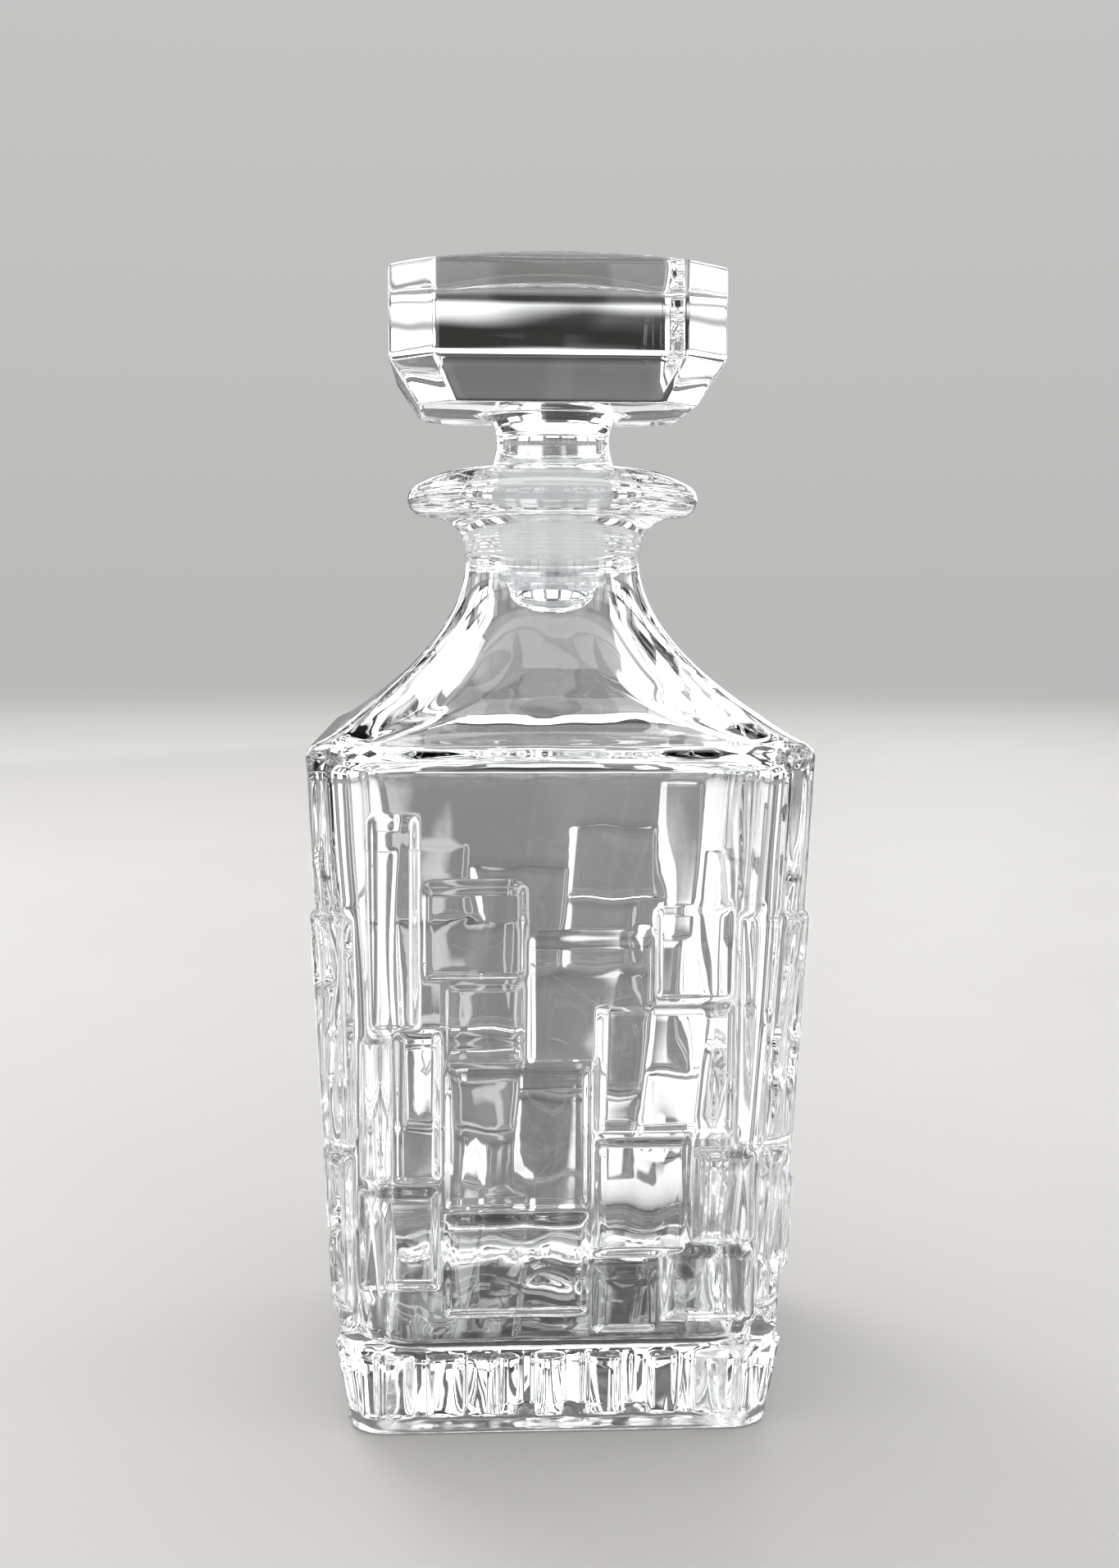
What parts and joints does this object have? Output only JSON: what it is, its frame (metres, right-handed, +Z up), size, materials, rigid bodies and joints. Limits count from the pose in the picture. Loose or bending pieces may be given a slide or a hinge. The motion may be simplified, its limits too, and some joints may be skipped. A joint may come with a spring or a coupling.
{
  "type": "square glass decanter",
  "caption": "Square tapered glass decanter with a pressed tile relief, a round ring lip, and a faceted solid glass stopper in a soft sealing sleeve.",
  "frame": {"origin": "centre of the foot, on the surface the decanter stands on", "axes": "+Z up through the neck and stopper, the four walls face +X, -X, +Y and -Y, and the front wall faces -Y"},
  "size_m": [0.1, 0.1, 0.2362],
  "materials": {
    "bottle_glass": "clear pressed glass, fire polished",
    "stopper_glass": "clear solid pressed glass, polished facets",
    "sleeve_plastic": "translucent milky soft plastic, finely ribbed"
  },
  "bodies": {
    "bottle": {"bottle": "bottle_glass"},
    "sleeve": {"sealing_sleeve": "sleeve_plastic"},
    "stopper": {"stopper": "stopper_glass"}
  },
  "joints": [
    {"name": "stopper_lift", "type": "slide", "parent": "bottle", "child": "sleeve", "axis": [0, 0, 1], "range_m": [0, 0.06]},
    {"name": "stopper_turn", "type": "hinge", "parent": "sleeve", "child": "stopper", "pos_m": [0, 0, 0.193], "axis": [0, 0, 1], "continuous": true}
  ]
}
